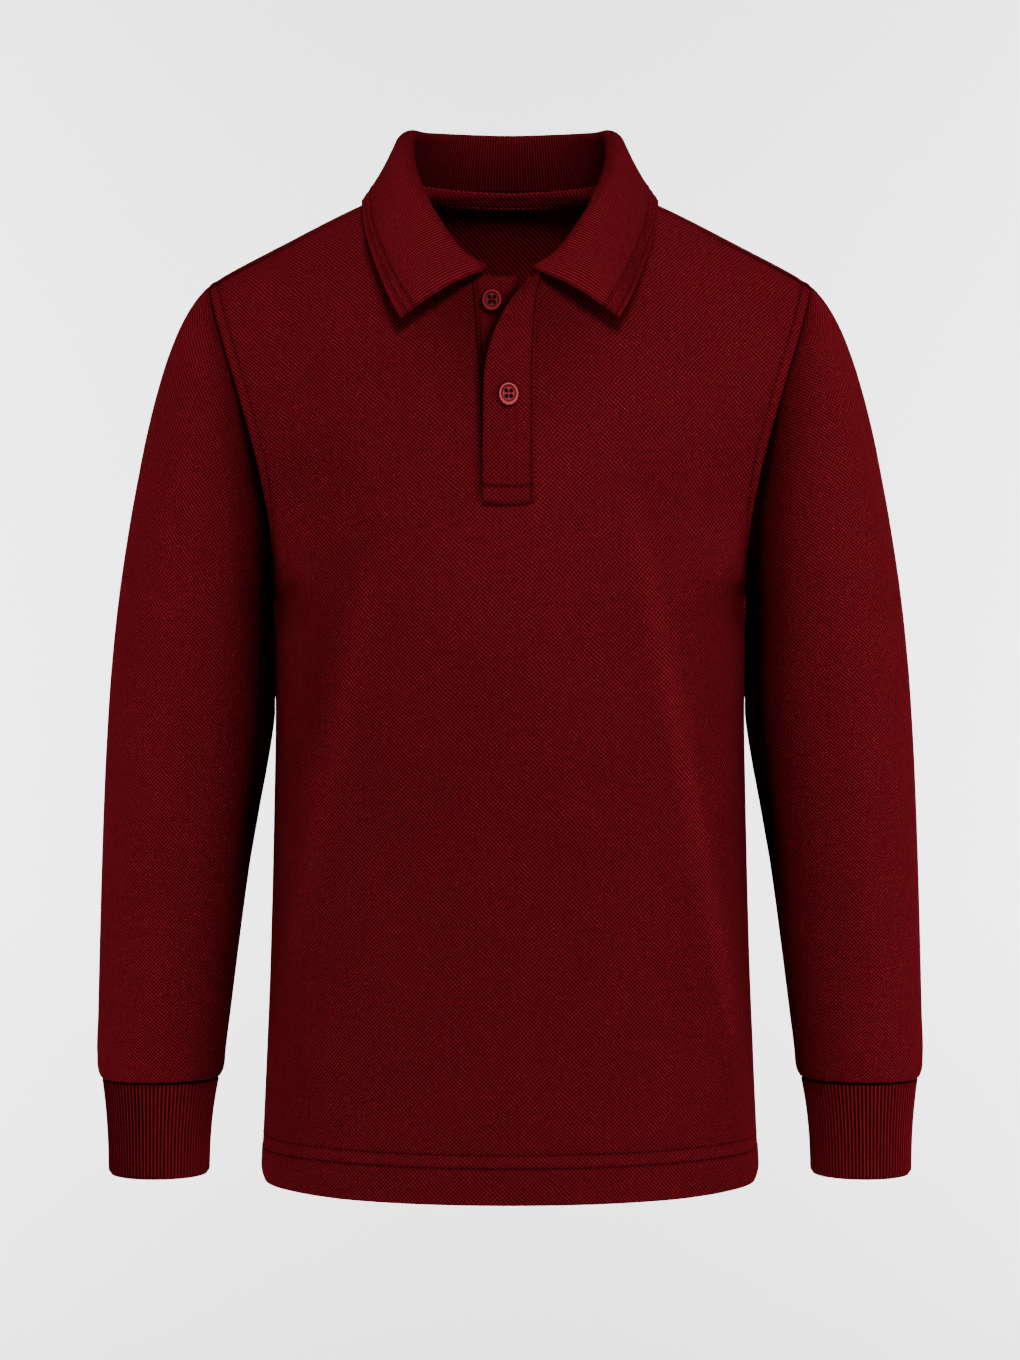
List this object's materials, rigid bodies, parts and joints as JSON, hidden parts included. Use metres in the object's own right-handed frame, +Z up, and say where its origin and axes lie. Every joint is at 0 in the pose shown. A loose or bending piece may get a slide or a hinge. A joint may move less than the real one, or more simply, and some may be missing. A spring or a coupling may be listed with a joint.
{
  "type": "long-sleeve polo shirt",
  "caption": "Child's long-sleeve polo shirt in burgundy pique, filled out as worn, with a fold-over rib collar, an open buttoned placket and ribbed cuffs.",
  "frame": {"origin": "middle of the neck opening, at the height of the inner ends of the shoulder seams", "axes": "+Z up, -Y towards the front of the shirt, +X towards the wearer's left"},
  "size_m": [0.4312, 0.1794, 0.5577],
  "materials": {
    "pique": "matte burgundy pique knit",
    "rib": "matte burgundy rib knit",
    "tape": "matte burgundy twill tape",
    "button": "semi-gloss dyed plastic in a lighter burgundy pink"
  },
  "bodies": {
    "root": {"front": "pique", "back": "pique", "sleeve_left": "pique", "sleeve_right": "pique", "cuff_left": "rib", "cuff_right": "rib", "collar": "rib", "placket_over": "pique", "placket_under": "pique", "neck_tape": "tape", "button_top": "button", "button_lower": "button"}
  },
  "joints": []
}
